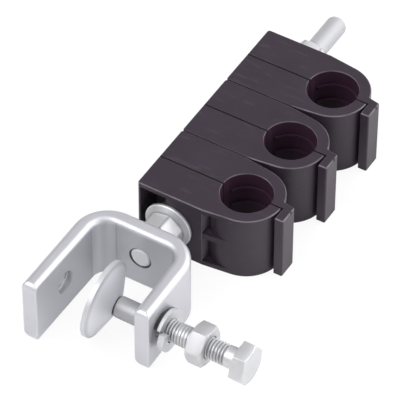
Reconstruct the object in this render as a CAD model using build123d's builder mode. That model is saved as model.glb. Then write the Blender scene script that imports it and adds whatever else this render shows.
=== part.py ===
from build123d import *
import math
import os

# Three-way hanger for coaxial cable: three split plastic clamps strung on a rod,
# and a C-shaped bracket that a hex bolt clamps to a tower member.
# The origin is the middle of the middle cable bore. +Z runs along the cables,
# +Y along the rod away from the bracket, +X from the rod towards the clamp noses.

# Clamp row
clamp_count = 3
clamp_pitch = 38.2
clamp_height = 35.4
bore_d = 24.0
nose_wall = 5.5
spine_x = -44.8
shoulder_x = -11.6
parting_gap = 0.3
seam_gap = 0.1
top_edge_r = 0.7
spine_edge_r = 1.3
bore_edge_r = 0.4

# Plates that join the shoulder to the nose, with hollows between them
top_plate_t = 2.6
bottom_plate_t = 3.0
rib_plate_t = 3.2
rib_plate_z = 1.2

# Hollow in the outer face of each half, beside the rod boss
hollow_wall = 1.5
hollow_w = 13.4
hollow_top_wall = 2.5
hollow_depth = 14.0
boss_r = 8.2

# Grip ribs in the cable bore
grip_h = 0.75
grip_w = 1.4
grip_count = 3
grip_spacing = 9.0
grip_end_angle = 24.0

# Guide bar on the nose of each rear half
bar_gap = 0.7
bar_t = 4.3
bar_reach = 6.9
bar_root = 3.0
bar_heel = 1.5
bar_edge_r = 0.7

# Rod and its flange nuts
rod_x = -28.2
rod_d = 10.0
rod_chamfer = 0.7
rod_hole_clearance = 0.5
rod_free_end = 36.5
thread_clearance = 0.06
flange_nut_af = 16.0
flange_nut_h = 12.0
flange_d = 23.4
flange_rim_t = 1.3
flange_edge = 0.3
flange_cone_h = 3.4
flange_top_d = 19.0
front_nut_turn = 16.5
rear_nut_turn = 8.0
nut_seat_gap = 0.05

# Bracket
web_gap = 4.6
web_t = 8.0
bracket_w = 33.0
jaw_left_x = -56.2
jaw_right_x = 0.2
left_arm_l = 59.4
right_arm_l = 48.3
arm_root_t = 8.0
arm_tip_t = 7.4
right_arm_splay = 0.8
bend_inner_r = 7.8
bend_outer_r = 17.0
bracket_top_r = 2.8
bracket_bottom_r = 0.5
tip_side_r = 0.8
tip_corner_r = 4.0
tapped_hole_chamfer = 0.5

# Clamp bolt, pressure disc, lock nut and lock washer
bolt_offset = 28.8
bolt_d = 10.0
bolt_head_af = 17.0
bolt_head_h = 6.4
bolt_head_x = 39.3
bolt_head_turn = 5.0
washer_face_d = 16.2
washer_face_t = 0.4
hex_chamfer_angle = 30.0
hex_face_ratio = 0.97
dog_d = 7.0
dog_clearance = 0.4
tip_gap = 0.6
tip_chamfer = 0.8
disc_d = 36.5
disc_face_x = -30.1
disc_rim_t = 2.1
disc_height = 8.0
disc_crown_d = 10.0
disc_crown_r = 1.0
disc_rim_r = 0.7
disc_recess_d = 12.0
disc_recess_depth = 2.8
disc_lean_down = 5.2
disc_lean_in = 2.6
peen_d = 9.6
peen_t = 1.2
peen_inset = 0.6
peen_dome = 0.4
lock_nut_af = 17.0
lock_nut_h = 8.0
lock_nut_x = 17.0
lock_nut_turn = -13.0
washer_outer_d = 19.4
washer_inner_d = 10.8
washer_t = 2.9
washer_x = 1.35
washer_lead = 3.2
washer_split_angle = 8.0
washer_end_angle = 143.0
washer_sag = 0.35

# Margins of the cutting and picking steps
overrun = 1.0
near = 0.1
same = 0.01

# Values worked out from the ones above
bore_r = bore_d / 2
nose_r = bore_r + nose_wall
half_h = clamp_height / 2
half_depth = (clamp_pitch - seam_gap) / 2
parting_y = parting_gap / 2
row_half = (clamp_count - 1) / 2 * clamp_pitch
front_face_y = -row_half - half_depth
rear_face_y = row_half + half_depth
web_outer_y = front_face_y - flange_nut_h - web_gap
web_inner_y = web_outer_y - web_t
bolt_y = web_inner_y - bolt_offset
tapped_r = rod_d / 2 + thread_clearance

os.makedirs("parts", exist_ok=True)


def save(solid, name):
    solid.label = name
    export_step(solid, f"parts/{name}.step")


def tangent_point(x, y, radius):
    """Where the line from (x, y) touches a circle on the origin, on the side away from the parting line."""
    reach = math.hypot(x, y)
    angle = math.atan2(y, x) + math.acos(radius / reach)
    return radius * math.cos(angle), radius * math.sin(angle)


# The outline of one half lies on the -Y side of its bore: a straight shoulder,
# a flat that slopes in from it, and a round nose.
shoulder = (shoulder_x, -half_depth)
touch = tangent_point(*shoulder, nose_r)
nose_tip = (math.sqrt(nose_r**2 - parting_y**2), -parting_y)
nose_mid_angle = math.atan2(touch[1], touch[0]) / 2
nose_mid = (nose_r * math.cos(nose_mid_angle), nose_r * math.sin(nose_mid_angle))


def half_body():
    with BuildPart() as half:
        # Outline, full height, with its outer edges rounded
        with BuildSketch(Plane.XY.offset(-half_h)):
            with BuildLine():
                Polyline(
                    nose_tip,
                    (spine_x, -parting_y),
                    (spine_x, -half_depth),
                    shoulder,
                    touch,
                )
                ThreePointArc(touch, nose_mid, nose_tip)
            make_face()
        extrude(amount=clamp_height)
        outer_corner = half.edges().filter_by(Axis.Z).sort_by_distance((spine_x, -half_depth, 0))[0]
        fillet(outer_corner, spine_edge_r)
        flat_ends = half.faces().filter_by(Axis.Z)
        fillet(flat_ends.edges(), top_edge_r)

        # Hollows between the plates that tie the shoulder to the nose wall
        upper = (rib_plate_z + rib_plate_t / 2, half_h - top_plate_t)
        lower = (-half_h + bottom_plate_t, rib_plate_z - rib_plate_t / 2)
        for low, high in (upper, lower):
            with BuildSketch(Plane.XY.offset(low)):
                with BuildLine():
                    Polyline(
                        (shoulder_x, -half_depth - overrun),
                        (touch[0], -half_depth - overrun),
                        touch,
                        (shoulder_x, 0),
                        close=True,
                    )
                make_face()
                Circle(nose_r, mode=Mode.SUBTRACT)
            extrude(amount=high - low, mode=Mode.SUBTRACT)

        # Hollow beside the rod boss, open at the outer face
        with BuildSketch(Plane(origin=(0, -half_depth, 0), x_dir=(1, 0, 0), z_dir=(0, -1, 0))):
            with Locations((spine_x + hollow_wall + hollow_w / 2, 0)):
                Rectangle(hollow_w, clamp_height - 2 * hollow_top_wall)
            with Locations((rod_x, 0)):
                Circle(boss_r, mode=Mode.SUBTRACT)
        extrude(amount=-hollow_depth, mode=Mode.SUBTRACT)

        # Cable bore and rod hole
        with BuildSketch(Plane.XY.offset(-half_h)):
            Circle(bore_r)
        extrude(amount=clamp_height, mode=Mode.SUBTRACT)
        round_edges = half.edges().filter_by(GeomType.CIRCLE)
        bore_edges = round_edges.filter_by(lambda e: abs(e.radius - bore_r) < same)
        fillet(bore_edges, bore_edge_r)
        with BuildSketch(Plane(origin=(rod_x, 0, 0), x_dir=(1, 0, 0), z_dir=(0, -1, 0))):
            Circle(rod_d / 2 + rod_hole_clearance)
        extrude(amount=half_depth + overrun, both=True, mode=Mode.SUBTRACT)

        # Grip ribs round the bore, short of the parting line
        start = -180 + grip_end_angle
        for row in range(grip_count):
            z = (row - (grip_count - 1) / 2) * grip_spacing - grip_w / 2
            with BuildSketch(Plane.XY.offset(z)):
                with BuildLine():
                    CenterArc((0, 0), bore_r + grip_h, start, 180 - 2 * grip_end_angle)
                    CenterArc((0, 0), bore_r - grip_h, start, 180 - 2 * grip_end_angle)
                    Line(
                        PolarLine((0, 0), bore_r + grip_h, start, mode=Mode.PRIVATE) @ 1,
                        PolarLine((0, 0), bore_r - grip_h, start, mode=Mode.PRIVATE) @ 1,
                    )
                    Line(
                        PolarLine((0, 0), bore_r + grip_h, -grip_end_angle, mode=Mode.PRIVATE) @ 1,
                        PolarLine((0, 0), bore_r - grip_h, -grip_end_angle, mode=Mode.PRIVATE) @ 1,
                    )
                make_face()
            extrude(amount=grip_w)
    return half.part


def guide_bar():
    inner_x = nose_r + bar_gap
    with BuildPart() as bar:
        with BuildSketch(Plane.XY.offset(-half_h)):
            with BuildLine():
                Polyline(
                    (inner_x, -bar_reach),
                    (inner_x + bar_t, -bar_reach),
                    (inner_x + bar_t, bar_root),
                    (nose_r - nose_wall / 2, bar_root + bar_heel),
                    (nose_r - nose_wall / 2, parting_y),
                    (inner_x, parting_y),
                    close=True,
                )
            make_face()
        extrude(amount=clamp_height)
        reach_edges = bar.edges().filter_by(Axis.Z).group_by(Axis.X)[-1]
        fillet(reach_edges, bar_edge_r)
        end_edges = bar.faces().filter_by(Axis.Z).edges()
        fillet(end_edges.filter_by_position(Axis.X, inner_x, inner_x + bar_t), bar_edge_r)
    return bar.part


front_half = half_body()
with BuildPart() as rear_half:
    add(mirror(front_half, about=Plane.XZ))
    add(guide_bar())

for number in range(1, clamp_count + 1):
    place = Location((0, (number - 1) * clamp_pitch - row_half, 0))
    save(front_half.moved(place), f"front_half_{number}")
    save(rear_half.part.moved(place), f"rear_half_{number}")


# Hex body on the plane given, chamfered where the corners meet the end faces
def hexagon(plane, across_flats, height, turn, ends):
    corner_r = across_flats / math.sqrt(3)
    flat_r = across_flats / 2 * hex_face_ratio
    drop = (corner_r - flat_r) * math.tan(math.radians(hex_chamfer_angle))
    with BuildPart() as body:
        with BuildSketch(plane):
            RegularPolygon(corner_r, 6, rotation=turn)
        extrude(amount=height)
        with BuildSketch(Plane(origin=plane.origin, x_dir=plane.x_dir, z_dir=-plane.y_dir)):
            with BuildLine():
                low = drop if "low" in ends else 0
                low_r = flat_r if "low" in ends else corner_r
                Polyline(
                    (0, 0),
                    (low_r, 0),
                    (corner_r + same, low),
                    (corner_r + same, height - drop),
                    (flat_r, height),
                    (0, height),
                    close=True,
                )
            make_face()
        revolve(axis=Axis(plane.origin, plane.z_dir), mode=Mode.INTERSECT)
    return body.part


def flange_nut(seat_y, out, turn):
    plane = Plane(origin=(rod_x, seat_y, 0), x_dir=(1, 0, 0), z_dir=(0, out, 0))
    with BuildPart() as nut:
        add(hexagon(plane, flange_nut_af, flange_nut_h, turn, "high"))
        with BuildSketch(Plane(origin=plane.origin, x_dir=plane.x_dir, z_dir=-plane.y_dir)):
            with BuildLine():
                Polyline(
                    (0, 0),
                    (flange_d / 2 - flange_edge, 0),
                    (flange_d / 2, flange_edge),
                    (flange_d / 2, flange_rim_t),
                    (flange_top_d / 2, flange_cone_h),
                    (0, flange_cone_h),
                    close=True,
                )
            make_face()
        revolve(axis=Axis(plane.origin, plane.z_dir))
        with BuildSketch(plane):
            Circle(tapped_r)
        extrude(amount=flange_nut_h, mode=Mode.SUBTRACT)
        round_edges = nut.edges().filter_by(GeomType.CIRCLE)
        mouths = round_edges.filter_by(lambda e: abs(e.radius - tapped_r) < same)
        chamfer(mouths, tapped_hole_chamfer)
    return nut.part


save(flange_nut(front_face_y - nut_seat_gap, -1, front_nut_turn), "front_flange_nut")
save(flange_nut(rear_face_y + nut_seat_gap, 1, rear_nut_turn), "rear_flange_nut")

# Rod, flush with the inner face of the bracket web
with BuildPart() as rod:
    with BuildSketch(Plane(origin=(rod_x, web_inner_y, 0), x_dir=(1, 0, 0), z_dir=(0, 1, 0))):
        Circle(rod_d / 2)
    extrude(amount=rear_face_y + rod_free_end - web_inner_y)
    chamfer(rod.edges().filter_by(GeomType.CIRCLE), rod_chamfer)
save(rod.part, "rod")

# Bracket: a C of thick plate, well rounded along the top, with three tapped holes
left_tip_y = web_outer_y - left_arm_l
right_tip_y = web_outer_y - right_arm_l
right_tip_x = jaw_right_x + right_arm_splay
with BuildPart() as c_bracket:
    with BuildSketch(Plane.XY.offset(-bracket_w / 2)) as profile:
        with BuildLine():
            Polyline(
                (jaw_left_x, left_tip_y),
                (jaw_left_x, web_outer_y),
                (jaw_right_x, web_outer_y),
                (right_tip_x, right_tip_y),
                (right_tip_x - arm_tip_t, right_tip_y),
                (jaw_right_x - arm_root_t, web_inner_y),
                (jaw_left_x + arm_root_t, web_inner_y),
                (jaw_left_x + arm_tip_t, left_tip_y),
                close=True,
            )
        make_face()
        corners = profile.vertices()
        fillet(corners.filter_by_position(Axis.Y, web_outer_y - near, web_outer_y + near), bend_outer_r)
        corners = profile.vertices()
        fillet(corners.filter_by_position(Axis.Y, web_inner_y - near, web_inner_y + near), bend_inner_r)
        corners = profile.vertices()
        fillet(corners.filter_by_position(Axis.Y, left_tip_y - near, right_tip_y + near), tip_side_r)
    extrude(amount=bracket_w)
    fillet(c_bracket.faces().sort_by(Axis.Z)[-1].edges(), bracket_top_r)
    fillet(c_bracket.faces().sort_by(Axis.Z)[0].edges(), bracket_bottom_r)

    # Rounding of the lower corner of each arm on its -X side, widest at the tip
    left_side = (jaw_left_x, left_tip_y, jaw_left_x, web_outer_y - bend_outer_r)
    right_inner_x = right_tip_x - arm_tip_t
    right_side = (right_inner_x, right_tip_y, jaw_right_x - arm_root_t, web_inner_y - bend_inner_r)
    for tip_x, tip_y, root_x, root_y in (left_side, right_side):
        fade = tip_corner_r * (1 - math.sqrt(0.5))
        with BuildSketch(Plane(origin=(tip_x, tip_y, -bracket_w / 2), x_dir=(1, 0, 0), z_dir=(0, -1, 0))):
            with BuildLine():
                rounding = CenterArc((tip_corner_r, tip_corner_r), tip_corner_r, 180, 90)
                Polyline(
                    rounding @ 1,
                    (tip_corner_r, -web_t),
                    (-web_t, -web_t),
                    (-web_t, tip_corner_r),
                    rounding @ 0,
                )
            make_face()
        along = Vector(root_x - tip_x - fade, root_y - tip_y, -fade)
        extrude(amount=along.length, dir=along, mode=Mode.SUBTRACT)

    with BuildSketch(Plane(origin=(jaw_left_x - overrun, bolt_y, 0), x_dir=(0, 1, 0), z_dir=(1, 0, 0))):
        Circle(tapped_r)
    extrude(amount=right_tip_x - jaw_left_x + 2 * overrun, mode=Mode.SUBTRACT)
    with BuildSketch(Plane(origin=(rod_x, web_inner_y - overrun, 0), x_dir=(1, 0, 0), z_dir=(0, 1, 0))):
        Circle(tapped_r)
    extrude(amount=web_t + 2 * overrun, mode=Mode.SUBTRACT)
    round_edges = c_bracket.edges().filter_by(GeomType.CIRCLE)
    hole_mouths = round_edges.filter_by(lambda e: abs(e.radius - tapped_r) < same)
    slanted_mouths = c_bracket.edges().filter_by(GeomType.ELLIPSE)
    chamfer(hole_mouths + slanted_mouths, tapped_hole_chamfer)
save(c_bracket.part, "c_bracket")

# Clamp bolt along X: hex head, thread and a dog point that is peened over inside the disc
head_plane = Plane(origin=(bolt_head_x, bolt_y, 0), x_dir=(0, 1, 0), z_dir=(1, 0, 0))
disc_top_x = disc_face_x + disc_height
tip_x = disc_top_x + tip_gap
peen_x = disc_face_x + peen_inset
with BuildPart() as clamp_bolt:
    add(hexagon(head_plane, bolt_head_af, bolt_head_h, bolt_head_turn, "high"))
    with BuildSketch(Plane(origin=(0, bolt_y, 0), x_dir=(1, 0, 0), z_dir=(0, 0, 1))):
        with BuildLine():
            Polyline(
                (bolt_head_x, 0),
                (bolt_head_x, washer_face_d / 2),
                (bolt_head_x - washer_face_t, washer_face_d / 2),
                (bolt_head_x - washer_face_t, bolt_d / 2),
                (tip_x + tip_chamfer, bolt_d / 2),
                (tip_x, bolt_d / 2 - tip_chamfer),
                (tip_x, dog_d / 2),
                (peen_x + peen_t, dog_d / 2),
                (peen_x + peen_t, peen_d / 2),
                (peen_x + peen_dome, peen_d / 2),
                (peen_x, dog_d / 2),
                (peen_x, 0),
                close=True,
            )
        make_face()
    revolve(axis=Axis((0, bolt_y, 0), (1, 0, 0)))
save(clamp_bolt.part, "clamp_bolt")

# Pressure disc: a coned pad, loose enough on the dog point to lean and suit a tapered flange
with BuildPart() as pressure_disc:
    with BuildSketch(Plane(origin=(0, bolt_y, 0), x_dir=(1, 0, 0), z_dir=(0, 0, 1))) as disc_section:
        rim_x = disc_face_x + disc_rim_t
        hole_r = dog_d / 2 + dog_clearance
        with BuildLine():
            Polyline(
                (disc_top_x, hole_r),
                (disc_top_x, disc_crown_d / 2),
                (rim_x, disc_d / 2),
                (disc_face_x, disc_d / 2),
                (disc_face_x, disc_recess_d / 2),
                (disc_face_x + disc_recess_depth, disc_recess_d / 2),
                (disc_face_x + disc_recess_depth, hole_r),
                close=True,
            )
        make_face()
        rim_y = bolt_y + disc_d / 2
        fillet(disc_section.vertices().filter_by_position(Axis.Y, rim_y - near, rim_y + near), disc_rim_r)
        crown = (disc_top_x, bolt_y + disc_crown_d / 2, 0)
        fillet(disc_section.vertices().sort_by_distance(crown)[0], disc_crown_r)
    revolve(axis=Axis((0, bolt_y, 0), (1, 0, 0)))
disc_pivot = Location((disc_face_x + (disc_recess_depth + disc_height) / 2, bolt_y, 0))
disc_lean = disc_pivot * Rot(0, 0, disc_lean_in) * Rot(0, disc_lean_down, 0) * disc_pivot.inverse()
save(pressure_disc.part.moved(disc_lean), "pressure_disc")

# Lock nut, backed off along the bolt
nut_plane = Plane(origin=(lock_nut_x, bolt_y, 0), x_dir=(0, 1, 0), z_dir=(1, 0, 0))
with BuildPart() as lock_nut:
    add(hexagon(nut_plane, lock_nut_af, lock_nut_h, lock_nut_turn, "low high"))
    with BuildSketch(nut_plane):
        Circle(tapped_r)
    extrude(amount=lock_nut_h, mode=Mode.SUBTRACT)
    round_edges = lock_nut.edges().filter_by(GeomType.CIRCLE)
    mouths = round_edges.filter_by(lambda e: abs(e.radius - tapped_r) < same)
    chamfer(mouths, tapped_hole_chamfer)
save(lock_nut.part, "lock_nut")

# Lock washer: a square-wire ring, cut through and sprung into a left-hand helix,
# hanging on the bolt beside the bracket arm
washer_mid_r = (washer_outer_d + washer_inner_d) / 4
washer_turns = 1 - washer_split_angle / 360
with BuildPart() as washer_coil:
    with BuildLine():
        coil = Helix(pitch=washer_lead, height=washer_lead * washer_turns, radius=washer_mid_r, lefthand=True)
    with BuildSketch(Plane(origin=coil @ 0, x_dir=(1, 0, 0), z_dir=coil % 0)):
        Rectangle((washer_outer_d - washer_inner_d) / 2, washer_t)
    sweep(is_frenet=True)
end_angle = math.radians(washer_end_angle)
washer_plane = Plane(
    origin=(washer_x + washer_t / 2, bolt_y, -washer_sag),
    x_dir=(0, math.cos(end_angle), math.sin(end_angle)),
    z_dir=(1, 0, 0),
)
save(washer_coil.part.moved(washer_plane.location), "lock_washer")
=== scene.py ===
# %% [markdown]
# # A three-way coaxial cable hanger
# The object holds three runs of coaxial cable against a tower. Three split plastic clamps are strung on a
# steel rod, and the rod is screwed into a C-shaped bracket that a hex bolt and a coned disc grip to the
# steelwork. The solids come in ready made, in metres, so this lesson is about surfaces: we cut the screw
# threads, take the razor edge off the nuts, and mix the plastic and the two steels.

# %% Bring in the solids
import math

import bpy
from mathutils import Matrix, Vector


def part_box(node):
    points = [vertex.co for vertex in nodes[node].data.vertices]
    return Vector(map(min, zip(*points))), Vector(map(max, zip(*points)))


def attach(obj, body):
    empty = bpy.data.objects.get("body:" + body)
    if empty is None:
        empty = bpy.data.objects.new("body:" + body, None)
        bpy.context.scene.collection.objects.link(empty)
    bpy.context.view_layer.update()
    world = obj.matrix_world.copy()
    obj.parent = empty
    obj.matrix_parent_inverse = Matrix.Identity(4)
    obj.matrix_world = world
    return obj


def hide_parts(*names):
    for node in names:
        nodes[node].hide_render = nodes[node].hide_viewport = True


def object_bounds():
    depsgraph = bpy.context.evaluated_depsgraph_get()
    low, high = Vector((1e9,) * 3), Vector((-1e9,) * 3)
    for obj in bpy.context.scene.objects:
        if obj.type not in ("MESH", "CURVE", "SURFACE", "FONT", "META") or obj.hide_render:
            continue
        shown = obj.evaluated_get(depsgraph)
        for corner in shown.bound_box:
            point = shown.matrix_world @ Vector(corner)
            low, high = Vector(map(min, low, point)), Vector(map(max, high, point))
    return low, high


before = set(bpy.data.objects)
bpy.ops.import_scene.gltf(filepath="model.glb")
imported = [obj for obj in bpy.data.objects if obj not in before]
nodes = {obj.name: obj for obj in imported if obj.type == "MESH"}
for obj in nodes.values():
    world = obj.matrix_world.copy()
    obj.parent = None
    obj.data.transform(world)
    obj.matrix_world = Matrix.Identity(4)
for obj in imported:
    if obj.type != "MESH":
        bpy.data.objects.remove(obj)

MM = 0.001
solid_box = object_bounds()
for name in sorted(nodes):
    low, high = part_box(name)
    print(f"{name:18s}", " x ".join(f"{(b - a) / MM:.1f}" for a, b in zip(low, high)), "mm")


# %% [markdown]
# ## Writing shader maths as plain sums
# Every finish below is a small recipe of nodes. Wiring nodes by hand is slow to read, so one class wraps
# a socket and lets Python's own signs add the Math nodes: `1 - mask` or `0.4 + 0.1 * grain`. Any other
# node comes from one method, which takes the node's type, its settings and its sockets. The recipe's
# short methods are the words that the finishes are written in. A mask is a value from 0 to 1: `past` is 1
# beyond a border, `short_of` is 1 before it, and `band` is 1 between two borders.

# %% A socket that can be added and multiplied
class Wire:
    def __init__(self, recipe, socket):
        self.recipe = recipe
        self.socket = socket

    def sum(self, operation, first, second, clamp=False):
        settings = {"operation": operation, "use_clamp": clamp}
        return self.recipe.node("ShaderNodeMath", settings, {0: first, 1: second})

    def __add__(self, other):
        return self.sum("ADD", self, other)

    def __radd__(self, other):
        return self.sum("ADD", other, self)

    def __sub__(self, other):
        return self.sum("SUBTRACT", self, other)

    def __rsub__(self, other):
        return self.sum("SUBTRACT", other, self)

    def __mul__(self, other):
        return self.sum("MULTIPLY", self, other)

    def __rmul__(self, other):
        return self.sum("MULTIPLY", other, self)

    def held(self):
        return self.sum("ADD", self, 0.0, clamp=True)


# %% A tree that takes any node
class Tree:
    def __init__(self, name, world=None):
        self.owner = world or bpy.data.materials.new(name)
        self.owner.use_nodes = True
        self.tree = self.owner.node_tree
        self.tree.nodes.clear()

    def node(self, kind, settings=None, sockets=None, out=0):
        made = self.tree.nodes.new(kind)
        for key, value in (settings or {}).items():
            if key == "stops":
                for stop, (position, shade) in zip(made.color_ramp.elements, value):
                    stop.position = position
                    stop.color = (shade, shade, shade, 1)
            else:
                setattr(made, key, value)
        for key, value in (sockets or {}).items():
            if isinstance(value, Wire):
                self.tree.links.new(value.socket, made.inputs[key])
            else:
                made.inputs[key].default_value = value
        return Wire(self, made.outputs[out])

    def finish(self, shader, target="ShaderNodeOutputMaterial"):
        output = self.tree.nodes.new(target)
        self.tree.links.new(shader.socket, output.inputs["Surface"])
        print(self.owner.name, "is made of", len(self.tree.nodes), "nodes")
        return self.owner


# %% A recipe, with the words for finishes
# A Mix node has a set of sockets for each kind of data. These are the ones for colours.
MIX_FACTOR = 0
MIX_FIRST = 6
MIX_SECOND = 7
MIX_RESULT = 2


class Recipe(Tree):
    def noise(self, scale, stretch=(1, 1, 1), detail=3.0, rough=0.5):
        spot = self.node("ShaderNodeTexCoord", out="Object")
        spot = self.node("ShaderNodeMapping", None, {"Vector": spot, "Scale": stretch})
        sockets = {"Vector": spot, "Scale": scale, "Detail": detail, "Roughness": rough}
        return self.node("ShaderNodeTexNoise", None, sockets)

    def place(self):
        spot = self.node("ShaderNodeTexCoord", out="Object")
        return [self.node("ShaderNodeSeparateXYZ", None, {0: spot}, out=axis) for axis in "XYZ"]

    def whole(self, value):
        return self.node("ShaderNodeMath", {"operation": "ROUND"}, {0: value})

    def size(self, value):
        return self.node("ShaderNodeMath", {"operation": "ABSOLUTE"}, {0: value})

    def length(self, first, second):
        squares = first * first + second * second
        return self.node("ShaderNodeMath", {"operation": "SQRT"}, {0: squares})

    def step(self, value, none, full):
        settings = {"interpolation_type": "SMOOTHSTEP"}
        sockets = {"Value": value, "From Min": none, "From Max": full}
        return self.node("ShaderNodeMapRange", settings, sockets)

    def past(self, value, border, soft):
        return self.step(value, border - soft, border + soft)

    def short_of(self, value, border, soft):
        return self.step(value, border + soft, border - soft)

    def band(self, value, low, high, soft):
        return self.past(value, low, soft) * self.short_of(value, high, soft)

    def ramp(self, value, low, high):
        return self.node("ShaderNodeValToRGB", {"stops": ((low, 0.0), (high, 1.0))}, {"Fac": value})

    def blend(self, amount, first, second):
        first, second = ((*c, 1) if isinstance(c, tuple) else c for c in (first, second))
        sockets = {MIX_FACTOR: amount, MIX_FIRST: first, MIX_SECOND: second}
        return self.node("ShaderNodeMix", {"data_type": "RGBA"}, sockets, out=MIX_RESULT)


# %% [markdown]
# ## The black plastic
# The clamps are injection moulded in a UV-proof black polymer. It isn't pure black: in the light it reads
# as a warm charcoal with a faint violet cast. One flat colour would look like a hole in the picture, and
# a painted image would need a layout for every clamp, so the colour is worked out from noises and places.
# Noises at several scales give the moulding's glossier and duller drifts, its fine grain and a few pale
# scuffs. Masks then follow the shape, worked out from the place of each point: a painted highlight makes
# the rounded edges paler in patches, painted shade makes the bores darker, the seams between the halves
# are nearly black, and painted light makes the walls of the hollows a shade lighter.

# %% Where things are on a clamp
# From the middle bore, x runs towards the noses, y along the row of clamps and z along the cables.
bore_pitch = 38.2 * MM
bore_r = 12.0 * MM
half_height = 17.7 * MM
edge_z = (half_height - 0.60 * MM, half_height - 0.08 * MM)
seam_y = 0.55 * MM
neighbour_y = 18.7 * MM
row_end_y = 56.2 * MM
seam_z = (half_height - 1.70 * MM, half_height - 0.05 * MM)
shoulder_x = -11.6 * MM
hollow_x = (-43.6 * MM, -29.0 * MM)
hollow_y = 18.85 * MM
nook_x = (-11.5 * MM, -8.0 * MM)
nook_y = (12.8 * MM, 17.2 * MM)
core_z = 15.3 * MM
print("three clamps make a row of", round(3 * bore_pitch / MM, 1), "mm")


# %% Colours of the plastic
charcoal = (0.0200, 0.0132, 0.0212)
pale_charcoal = (0.0290, 0.0192, 0.0306)
scuff_grey = (0.12, 0.11, 0.13)
core_light_grey = (0.16, 0.14, 0.16)
edge_highlight_grey = (0.17, 0.15, 0.17)
bore_shade_plum = (0.0300, 0.0080, 0.0240)
seam_black = (0.003, 0.002, 0.003)


# %% Black moulded plastic
def moulded_plastic():
    mix = Recipe("black_moulded_plastic")
    drift = mix.noise(55, detail=4)
    grain = mix.noise(2600, detail=2)
    scuff = mix.ramp(mix.noise(300, stretch=(0.30, 1.4, 1.0), detail=2), 0.60, 0.74)
    highlight_patches = mix.ramp(mix.noise(90, detail=2), 0.35, 0.65)
    x, y, z = mix.place()
    height = mix.size(z)
    from_middle = mix.size(y - bore_pitch * mix.whole(y * (1 / bore_pitch)))
    # Painted shade: inside the bores the plastic is made a darker plum.
    inside = mix.short_of(mix.length(x, from_middle), bore_r + 0.2 * MM, 0.1 * MM)
    # Painted highlight: the rounded top edges are made paler, in patches, where their fillets would catch
    # the light.
    edge = mix.band(height, *edge_z, 0.05 * MM) * (0.35 + 0.65 * highlight_patches)
    parting = mix.short_of(from_middle, seam_y, 0.15 * MM)
    joint = mix.past(from_middle, neighbour_y, 0.15 * MM) * mix.short_of(mix.size(y), row_end_y, 0.2 * MM)
    seam = (parting + joint).held() * mix.band(height, *seam_z, 0.02 * MM)
    # Painted light: the walls by the shoulder, in the end hollow and in the nook are made paler.
    shoulder = mix.band(x, shoulder_x - 0.15 * MM, shoulder_x + 0.15 * MM, 0.05 * MM)
    hollow = mix.band(x, *hollow_x, 0.1 * MM) * mix.short_of(from_middle, hollow_y, 0.05 * MM)
    nook = mix.past(x, nook_x[0], 0.2 * MM) * mix.short_of(x, nook_x[1], 2.0 * MM)
    nook = nook * mix.band(from_middle, *nook_y, 0.2 * MM)
    painted_core_light = (shoulder + 0.5 * hollow + 0.2 * nook).held() * mix.short_of(height, core_z, 0.1 * MM)
    tone = mix.blend(drift, charcoal, pale_charcoal)
    tone = mix.blend(scuff * 0.10, tone, scuff_grey)
    tone = mix.blend(painted_core_light * 0.7, tone, core_light_grey)
    tone = mix.blend(inside * 0.9, tone, bore_shade_plum)
    tone = mix.blend(edge * 0.85, tone, edge_highlight_grey)
    tone = mix.blend(seam * 0.95, tone, seam_black)
    rough = 0.34 + 0.10 * drift + 0.05 * grain + 0.08 * scuff + 0.20 * inside + 0.30 * seam
    bump = mix.node("ShaderNodeBump", None, {"Strength": 0.30, "Distance": 0.00004, "Height": grain})
    shader = mix.node("ShaderNodeBsdfPrincipled", None, {
        "Base Color": tone, "Roughness": rough, "IOR": 1.45, "Specular IOR Level": 0.38, "Normal": bump})
    return mix.finish(shader)


plastic = moulded_plastic()


# %% [markdown]
# ## The satin steel of the bracket and disc
# The bracket and the disc are formed steel with a matt zinc coat. The coat scatters light softly, so
# edges glow instead of flashing. Pure metal would mirror the room too hard, so Metallic stays a little
# under 1 and the coat keeps a colour of its own. A very fine noise gives the peened grain, and a broad one
# lets the coat vary from hand to hand, as plated parts do. Painted shade darkens the mouths of the holes
# and the disc's rim. Inside the bend of the long arm two faint lines of painted shade mark where the bend
# meets the flat faces, with a paler strip of painted highlight between them.

# %% Where things are on the bracket
# web_y and long_arm_x lie just inside the jaw, so that a mask beyond them stays on one wall.
rod_x = -28.2 * MM
bolt_y = -110.65 * MM
web_y = -87.5 * MM
long_arm_x = -45.5 * MM
hole_r = 5.65 * MM
disc_rim_r = 16.8 * MM
bend_x = -40.4 * MM
bend_y = -89.65 * MM
bend_r = 8.65 * MM
flat_top_z = 15.4 * MM
bend_shade_line = 0.275 * MM
bend_highlight_y = (0.15 * MM, 5.0 * MM)


# %% Satin coated steel
def grey(level, blue=0.02):
    return (level, level, level + blue)


# Painted shade and highlight: thin dark lines where the inner bend meets the flat faces, a paler strip
# between.
def painted_bend_marks(mix, x, y, z):
    along_x = x - bend_x
    along_y = y - bend_y
    bend = mix.short_of(mix.length(along_x, along_y), bend_r, 0.15 * MM)
    bend = bend * mix.short_of(z, flat_top_z, 0.2 * MM)
    lines = [mix.short_of(mix.size(along), bend_shade_line, 0.125 * MM) for along in (along_x, along_y)]
    strip = mix.past(along_y, bend_highlight_y[0], 0.45 * MM) * mix.short_of(along_y, bend_highlight_y[1], 1.5 * MM)
    return bend * (lines[0] + lines[1]).held(), bend * strip


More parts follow.
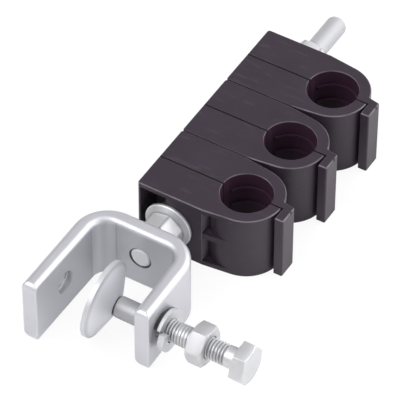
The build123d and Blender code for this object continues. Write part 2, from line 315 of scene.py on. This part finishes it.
def satin_steel(name, dark, light, disc=0.0):
    mix = Recipe(name)
    cloud = mix.noise(38, detail=5, rough=0.6)
    grain = mix.noise(3800, detail=2)
    x, y, z = mix.place()
    # Painted shade: the mouth of the rod's hole, the wall of the spare hole and the disc's rim are
    # darkened.
    mouth_shade = mix.short_of(mix.length(x - rod_x, z), hole_r, 0.10 * MM) * mix.past(y, web_y, 0.5 * MM)
    from_bolt = mix.length(y - bolt_y, z)
    spare = mix.short_of(from_bolt, hole_r - 0.05 * MM, 0.1 * MM) * mix.short_of(x, long_arm_x, 0.5 * MM)
    rim = mix.past(from_bolt, disc_rim_r, 1.0 * MM) * disc
    lines, strip = painted_bend_marks(mix, x, y, z)
    tone = mix.blend(cloud, dark, light)
    tone = mix.blend(strip * 0.27, tone, grey(0.90, 0.04))
    shade = mouth_shade * 0.9 + spare * (0.2 - 0.2 * disc) + rim * 0.26 + lines * 0.20
    tone = mix.blend(shade.held(), tone, grey(0.05, 0.005))
    rough = 0.44 + 0.08 * cloud + 0.05 * grain
    bump = mix.node("ShaderNodeBump", None, {"Strength": 0.22, "Distance": 0.00003, "Height": grain})
    shader = mix.node("ShaderNodeBsdfPrincipled", None, {
        "Base Color": tone, "Metallic": 0.85, "Roughness": rough, "Normal": bump})
    return mix.finish(shader)


satin = satin_steel("satin_coated_steel", grey(0.49, 0.035), grey(0.57, 0.035))
pale_satin = satin_steel("pale_coated_steel", grey(0.68, 0.035), grey(0.75, 0.035), disc=1.0)


# %% [markdown]
# ## The bright steel of the fasteners
# Nuts, bolt, rod and lock washer are brighter and smoother. What tells them apart is the direction of the
# marks: turned faces carry rings round their axis, and drawn rod carries streaks along it. Both are the
# same noise, squeezed along one axis or stretched along it, so one recipe serves them all. Painted shade
# darkens the thread's roots, the bolt inside the jaw, a flange's cone and the washer's side next to the
# arm, and the rod's end in the web is made paler. Each piece says where that is with a small function of
# its own, which the recipe calls.

# %% Bright steel with marks in one direction
def bright_steel(name, stretch, dark, light, dull=0.38, patch=None, patch_tone=(0.10, 0.10, 0.11)):
    mix = Recipe(name)
    marks = mix.noise(900, stretch=stretch, detail=3, rough=0.6)
    cloud = mix.noise(120, detail=4)
    tone = mix.blend(0.6 * cloud + 0.4 * marks, dark, light)
    rough = dull + 0.10 * cloud + 0.10 * marks
    # The patch mask blends in a piece's painted shade; on the rod it makes the end paler.
    if patch:
        patched = patch(mix)
        tone = mix.blend(patched, tone, patch_tone)
        rough = rough + 0.15 * patched
    bump = mix.node("ShaderNodeBump", None, {"Strength": 0.15, "Distance": 0.00002, "Height": marks})
    shader = mix.node("ShaderNodeBsdfPrincipled", None, {
        "Base Color": tone, "Metallic": 0.8, "Roughness": rough, "Normal": bump})
    return mix.finish(shader)


# %% Where the painted shade and the pale rod end begin and end
thread_mid_r = 4.5 * MM
thread_end_x = 38.95 * MM
jaw_x = -8.0 * MM
worn_x = (6.0 * MM, 17.0 * MM)
flange_r = (8.9 * MM, 11.3 * MM)
washer_sag = -0.35 * MM
washer_r = 9.475 * MM
washer_face_x = 2.9 * MM
rod_end_y = -81.25 * MM


# %% A small function for each patch
# Painted shade: the thread's roots and the bolt inside the jaw are darker; between the washer and the lock
# nut the bolt is also a little darker and duller.
def thread_shade(mix):
    x, y, z = mix.place()
    root_shade = mix.short_of(mix.length(y - bolt_y, z), thread_mid_r, 0.25 * MM)
    root_shade = root_shade * mix.short_of(x, thread_end_x, 0.15 * MM)
    jaw_shade = mix.short_of(x, jaw_x, 2.0 * MM)
    worn = mix.band(x, *worn_x, 0.5 * MM)
    return (0.38 * root_shade + 0.42 * jaw_shade + 0.14 * worn).held()


# Painted shade on the flange's cone.
def flange_shade(mix):
    x, y, z = mix.place()
    return 0.42 * mix.band(mix.length(x - rod_x, z), *flange_r, 0.15 * MM)


# Painted shadow: the washer's outer side next to the arm is made nearly black.
def washer_shadow(mix):
    x, y, z = mix.place()
    side = mix.past(mix.length(y - bolt_y, z - washer_sag), washer_r, 0.075 * MM)
    return 0.95 * side * mix.short_of(x, washer_face_x, 0.3 * MM)


def off_the_end(mix):
    x, y, z = mix.place()
    return 0.75 * mix.short_of(y, rod_end_y, 0.15 * MM)


# %% The bright finishes
rings_round_x = (4.0, 0.25, 0.25)
rings_round_y = (0.25, 4.0, 0.25)
streaks_along_y = (1.6, 0.05, 1.6)
nut_steel = bright_steel("bright_steel_nut", rings_round_x, grey(0.45), grey(0.54))
washer_steel = bright_steel("bright_steel_washer", rings_round_x, grey(0.50), grey(0.59),
                            patch=washer_shadow, patch_tone=grey(0.02, 0))
flange_steel = bright_steel("bright_steel_flange", rings_round_y, grey(0.53), grey(0.62),
                            patch=flange_shade)
bolt_steel = bright_steel("bright_steel_bolt", rings_round_x, grey(0.49), grey(0.58),
                          patch=thread_shade)
rod_steel = bright_steel("bright_steel_rod", streaks_along_y, grey(0.40), grey(0.48),
                         dull=0.60, patch=off_the_end, patch_tone=grey(0.86))


# %% [markdown]
# ## Dressing the solids that stay as they are
# The clamps, the bracket, the disc and the washer already have their final shape. They only change their
# material, which is swapped in the mesh's own list. The bolt, the rod and the nuts follow further down,
# once they have been worked on.

# %% Dress them
def dress(piece, material):
    piece.data.materials.clear()
    piece.data.materials.append(material)


finish_of = {name: plastic for name in nodes if "half" in name}
finish_of.update({"c_bracket": satin, "pressure_disc": pale_satin, "lock_washer": washer_steel})
for name, material in finish_of.items():
    dress(nodes[name], material)
print("dressed", len(finish_of), "of", len(nodes), "solids")


# %% [markdown]
# ## Working copies
# A solid from the frame is left alone. Where it needs more, we take a copy, merge the loose triangles
# into one skin, melt flat neighbours back into whole faces, drop the stored shading normals, which no
# longer fit, and let the copy stand for the solid. Four small helpers do what a hand does again and again
# at the bench: put everything down, pick up one piece, run one modifier on it, and pick points by their
# place.

# %% Helpers for work at the bench
def deselect():
    if bpy.context.object and bpy.context.object.mode != "OBJECT":
        bpy.ops.object.mode_set(mode="OBJECT")
    bpy.ops.object.select_all(action="DESELECT")


def pick(piece):
    deselect()
    piece.select_set(True)
    bpy.context.view_layer.objects.active = piece


def modify(piece, kind, **settings):
    pick(piece)
    modifier = piece.modifiers.new(kind.title(), kind)
    for key, value in settings.items():
        setattr(modifier, key, value)
    bpy.ops.object.modifier_apply(modifier=modifier.name)


def pick_points(piece, wanted):
    pick(piece)
    bpy.ops.object.mode_set(mode="EDIT")
    bpy.ops.mesh.select_all(action="DESELECT")
    bpy.ops.object.mode_set(mode="OBJECT")
    for vertex in piece.data.vertices:
        vertex.select = wanted(vertex.co)
    bpy.ops.object.mode_set(mode="EDIT")


# %% A working copy of a solid
def workpiece(node, name):
    pick(nodes[node])
    bpy.ops.object.duplicate()
    piece = bpy.context.object
    # The copy must not carry the marks that tell the frame's own solids.
    for key in [k for k in piece.keys() if k.startswith("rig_")]:
        del piece[key]
    piece.parent = None
    piece.name = name
    bpy.ops.object.mode_set(mode="EDIT")
    bpy.ops.mesh.select_all(action="SELECT")
    bpy.ops.mesh.remove_doubles(threshold=0.002 * MM)
    bpy.ops.mesh.dissolve_limited(angle_limit=math.radians(0.5))
    bpy.ops.object.mode_set(mode="OBJECT")
    bpy.ops.mesh.customdata_custom_splitnormals_clear()
    return piece


# %% [markdown]
# ## Cutting the bolt's thread
# The bolt is an M10: 10 mm over the crests, 1.5 mm from crest to crest, with flanks at 60 degrees. On a
# lathe a pointed tool travels along the turning blank. A bump texture would be cheaper, but it leaves the
# outline straight, and this thread is seen against a white background. So we do as the lathe does: the
# tool's outline is pulled out point by point, the Screw modifier carries it round and along, and the
# Boolean modifier takes it from the blank. The last half turn drifts outwards, because the real tool is
# withdrawn before it reaches the head. Between the washer and the lock nut the thread is worn shallow, so
# there the tool is drawn out in three steps.

# %% The outline of the tool
pitch = 1.5 * MM
flank = math.radians(30)


def tooth(deep, shallow, narrow):
    wide = narrow + 2 * abs(shallow - deep) * math.tan(flank)
    bottom = [(-narrow / 2, deep), (narrow / 2, deep)]
    top = [(wide / 2, shallow), (-wide / 2, shallow)]
    return bottom + top + bottom[:1]


def draw_outline(name, points):
    deselect()
    bpy.ops.mesh.primitive_plane_add(size=1 * MM, location=points[0])
    piece = bpy.context.object
    piece.name = name
    bpy.ops.object.mode_set(mode="EDIT")
    bpy.ops.mesh.select_mode(type="VERT")
    bpy.ops.mesh.select_all(action="SELECT")
    bpy.ops.mesh.merge(type="CENTER")
    for here, there in zip(points, points[1:]):
        move = [b - a for a, b in zip(here, there)]
        bpy.ops.mesh.extrude_vertices_move(TRANSFORM_OT_translate={"value": move})
    bpy.ops.mesh.select_all(action="SELECT")
    bpy.ops.mesh.remove_doubles(threshold=0.001 * MM)
    bpy.ops.object.mode_set(mode="OBJECT")
    return piece


# %% Carry the outline round and along
corners = 4
steps_round = 48
half_turn = steps_round // 2


def wind(name, outline, start_x, turns):
    coil = draw_outline(name, [(start_x + x, bolt_y, r) for x, r in outline])
    bpy.context.scene.cursor.location = (0, bolt_y, 0)
    bpy.ops.object.origin_set(type="ORIGIN_CURSOR")
    modify(coil, "SCREW", axis="X", angle=2 * math.pi, screw_offset=pitch, iterations=turns,
           steps=steps_round, render_steps=steps_round, use_merge_vertices=False)
    bpy.ops.object.transform_apply(location=True, rotation=True, scale=True)
    return coil


# %% Draw an end of the coil outwards, ring by ring
end_drift = 0.22


def draw_out(coil, rings):
    for count, ring in enumerate(rings):
        bpy.ops.mesh.select_all(action="DESELECT")
        bpy.ops.object.mode_set(mode="OBJECT")
        points = coil.data.vertices[ring * corners:(ring + 1) * corners]
        for vertex in points:
            vertex.select = True
        centre = (points[0].co.x, bolt_y, 0)
        bpy.ops.object.mode_set(mode="EDIT")
        away = 1 + end_drift * count / half_turn
        bpy.ops.transform.resize(value=(1, away, away), center_override=centre)


# %% A right-hand helix
worn_step = 1.04


def helix(name, outline, start_x, turns, both_ends=False, worn=()):
    coil = wind(name, outline, start_x, turns)
    rings = len(coil.data.vertices) // corners
    for start, end in worn:
        pick_points(coil, lambda spot: start < spot.x < end)
        bpy.ops.transform.resize(value=(1, worn_step, worn_step), center_override=(0, bolt_y, 0))
    bpy.ops.object.mode_set(mode="EDIT")
    draw_out(coil, range(rings - half_turn, rings))
    if both_ends:
        draw_out(coil, range(half_turn, -1, -1))
    bpy.ops.mesh.select_all(action="SELECT")
    bpy.ops.mesh.fill_holes(sides=0)
    bpy.ops.mesh.select_all(action="SELECT")
    bpy.ops.mesh.normals_make_consistent(inside=False)
    bpy.ops.object.mode_set(mode="OBJECT")
    first, second = coil.data.vertices[0].co, coil.data.vertices[corners].co
    turned = math.atan2(second.z, second.y - bolt_y) - math.atan2(first.z, first.y - bolt_y)
    print(name, rings, "rings, right-handed:", turned * (second.x - first.x) > 0)
    return coil


# %% The blank with its edges broken
broken_edge = 0.16 * MM
sharp = math.radians(24)


def break_edges(piece):
    modify(piece, "BEVEL", width=broken_edge, segments=2, limit_method="ANGLE", angle_limit=sharp)


bolt = workpiece("clamp_bolt", "threaded_bolt")
break_edges(bolt)
print("blank:", len(bolt.data.polygons), "faces")


# %% Rings beside the thread
# The long plain faces get a ring on either side of the thread, so that their smooth shading stops there.
ring_places = (-8.2 * MM, -7.6 * MM, 38.6 * MM)


def ring_round(piece, spot, axis):
    pick(piece)
    bpy.ops.object.mode_set(mode="EDIT")
    bpy.ops.mesh.select_all(action="SELECT")
    bpy.ops.mesh.bisect(plane_co=spot, plane_no=axis)
    bpy.ops.object.mode_set(mode="OBJECT")


for ring_x in ring_places:
    ring_round(bolt, (ring_x, 0, 0), (1, 0, 0))
print("ringed blank:", len(bolt.data.polygons), "faces")


# %% Cut it
bolt_tooth = tooth(deep=4.12 * MM, shallow=5.08 * MM, narrow=0.22 * MM)
worn_lengths = [(8 * MM, 20 * MM), (9 * MM, 19 * MM), (10 * MM, 18 * MM)]
tool = helix("thread_tool", bolt_tooth, start_x=-6.0 * MM, turns=27, worn=worn_lengths)
modify(bolt, "BOOLEAN", operation="DIFFERENCE", solver="EXACT", object=tool)
bpy.data.objects.remove(tool)
print("threaded bolt:", len(bolt.data.polygons), "faces")


# %% Finish the bolt
def settle(piece, node, body, material, angle=30):
    pick(piece)
    bpy.ops.object.shade_smooth_by_angle(angle=math.radians(angle))
    dress(piece, material)
    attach(piece, body)
    if node:
        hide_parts(node)


settle(bolt, "clamp_bolt", "bolt", bolt_steel)


# %% [markdown]
# ## Breaking the edges of the nuts
# No edge on a real nut is a razor. Tumbling and plating round it by a tenth of a millimetre or two, and
# that narrow rounding is what catches the light. The Bevel modifier does it, as it did on the bolt's
# blank, on every edge that turns by more than a set angle. Picking the edges by hand would give the same,
# but the angle finds them on all three nuts at once.

# %% Lock nut and flange nuts
def soften(node, name, body, material):
    piece = workpiece(node, name)
    break_edges(piece)
    settle(piece, node, body, material, 35)
    print(name, len(piece.data.polygons), "faces")


soften("lock_nut", "softened_lock_nut", "check_nut", nut_steel)
soften("front_flange_nut", "softened_front_nut", "front_nut", flange_steel)
soften("rear_flange_nut", "softened_rear_nut", "rear_nut", flange_steel)


# %% [markdown]
# ## Rounding the free end of the rod
# The rod's free end is dressed round, so that nuts start easily. A wide bevel would round it evenly, and
# rings that are set one by one follow the real nose more closely. Three more are cut near the tip. The
# first keeps the rod's full thickness, and the rings beyond it, with the chamfer's own two, are drawn in
# towards the axis, which turns the chamfer into a soft nose. The end face stays where it is, so the rod
# keeps its length.

# %% Rod
new_rings = (2.2 * MM, 1.4 * MM, 0.25 * MM)
drawn_in = [(1.4 * MM, 0.984), (0.7 * MM, 0.932), (0.25 * MM, 0.945), (0, 0.884)]
rod = workpiece("rod", "rounded_rod")
tip_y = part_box("rod")[1].y
for depth in new_rings:
    ring_round(rod, (0, tip_y - depth, 0), (0, 1, 0))
for depth, kept in drawn_in:
    pick_points(rod, lambda spot: abs(spot.y - tip_y + depth) < 0.05 * MM)
    bpy.ops.transform.resize(value=(kept, 1, kept), center_override=(rod_x, tip_y, 0))
settle(rod, "rod", "bracket", rod_steel, 35)
print("rounded rod:", len(rod.data.polygons), "faces")


# %% [markdown]
# ## The tapped hole in the long arm
# The spare hole shows its thread. A tapped hole is the bolt's opposite: the metal stands inwards between
# the grooves. Cutting it into the bracket would need a copy of that solid with all its rounded edges. A
# ridge of its own is simpler, so the same helix is used again, this time with its foot in the wall.

# %% Ridge of the internal thread
ridge_tooth = tooth(deep=4.30 * MM, shallow=5.16 * MM, narrow=0.24 * MM)
ridge = helix("arm_hole_thread", ridge_tooth, start_x=-55.0 * MM, turns=3, both_ends=True)
# The ridge takes the paler coated steel as painted light, so the thread inside the hole looks lit.
settle(ridge, None, "bracket", pale_satin)


# %% [markdown]
# ## Floor and light
# The floor is a large pale sheet. It is lit like paper, so the object keeps its soft shadow, and for the
# rays that come straight from the camera it also glows at a strength of 1, so it reads as a white
# background. The light is a tent with panels, drawn on the sky itself: an even pale wall that dims a
# little overhead, a bright panel high on the right, another high in front, and a faint one behind. Metal
# shows what surrounds it, so lamps alone would leave it dark, and the panels are what draws the soft
# bands along the bracket's rounded edge. One lamp fills the right side.

# %% Floor
deselect()
bpy.ops.mesh.primitive_plane_add(size=8, location=(0, 0, solid_box[0].z))
floor = bpy.context.object
floor.name = "pale_floor"
paper = Recipe("pale_paper")
camera_ray = paper.node("ShaderNodeLightPath", out="Is Camera Ray")
glossy_ray = paper.node("ShaderNodeLightPath", out="Is Glossy Ray")
seen = 0.9 * camera_ray + 0.3 * glossy_ray
lit = paper.node("ShaderNodeBsdfDiffuse", None, {"Color": (0.93, 0.93, 0.93, 1)})
glow = paper.node("ShaderNodeEmission", None, {"Color": (1, 1, 1, 1), "Strength": 1.0})
dress(floor, paper.finish(paper.node("ShaderNodeMixShader", None, {0: seen, 1: lit, 2: glow})))


# %% The tent
world = bpy.context.scene.world or bpy.data.worlds.new("tent")
bpy.context.scene.world = world
tent = Recipe("tent", world)
way = tent.node("ShaderNodeTexCoord", out="Generated")
up = tent.node("ShaderNodeSeparateXYZ", None, {0: way}, out="Z")


def panel(middle, edge, core):
    middle = Vector(middle).normalized()
    settings = {"operation": "DOT_PRODUCT"}
    facing = tent.node("ShaderNodeVectorMath", settings, {0: way, 1: middle}, out="Value")
    return tent.step(facing, math.cos(math.radians(edge)), math.cos(math.radians(core)))


level = 0.55 - 0.17 * up.held()
level = level + 3.7 * panel((0.56, 0.58, 0.58), edge=44, core=12)
level = level + 4.5 * panel((-0.36, -0.48, 0.80), edge=33, core=10)
level = level + 0.10 * panel((-0.36, 0.60, 0.72), edge=45, core=15)
tent.finish(tent.node("ShaderNodeBackground", None, {"Color": (1, 1, 1, 1), "Strength": level}),
            "ShaderNodeOutputWorld")


# %% The lamp
lamp_spot = Vector((1.05, -0.35, 0.30))
lit_spot = Vector((-0.01, -0.03, 0))
deselect()
bpy.ops.object.light_add(type="AREA", location=lamp_spot)
lamp = bpy.context.object
lamp.name = "side_lamp"
lamp.data.shape = "SQUARE"
lamp.data.size = 0.8
lamp.data.energy = 2.4
lamp.rotation_euler = (lit_spot - lamp_spot).to_track_quat("-Z", "Y").to_euler()
print("the lamp stands", round((lit_spot - lamp_spot).length, 2), "m away")


# %% [markdown]
# ## The camera
# The picture was taken from about 31 degrees to the right of the row's end and 46 degrees up, with a long
# lens. It could be set by eye, but numbers can be tried and kept. So the camera is built from those two
# angles, a hair of roll, and its distance from the middle of the view.

# %% Camera
turn = math.radians(30.99)
rise = math.radians(46.03)
roll = math.radians(0.174)
distance = 1519.84 * MM
aim = Vector((-15.37, -52.48, 17.7)) * MM
back = Vector((math.sin(turn) * math.cos(rise), -math.cos(turn) * math.cos(rise), math.sin(rise)))
right = Vector((math.cos(turn), math.sin(turn), 0))
above = back.cross(right)
side = right * math.cos(roll) + above * math.sin(roll)
top = above * math.cos(roll) - right * math.sin(roll)
heading = Matrix((side, top, back)).transposed().to_euler()
deselect()
bpy.ops.object.camera_add(location=aim + back * distance, rotation=heading)
camera = bpy.context.object
camera.data.lens = 312.33
camera.data.clip_end = 50
bpy.context.scene.camera = camera
bpy.context.scene.view_settings.view_transform = "Standard"
print("camera at", [round(c, 3) for c in camera.location], "with a lens of", round(camera.data.lens), "mm")
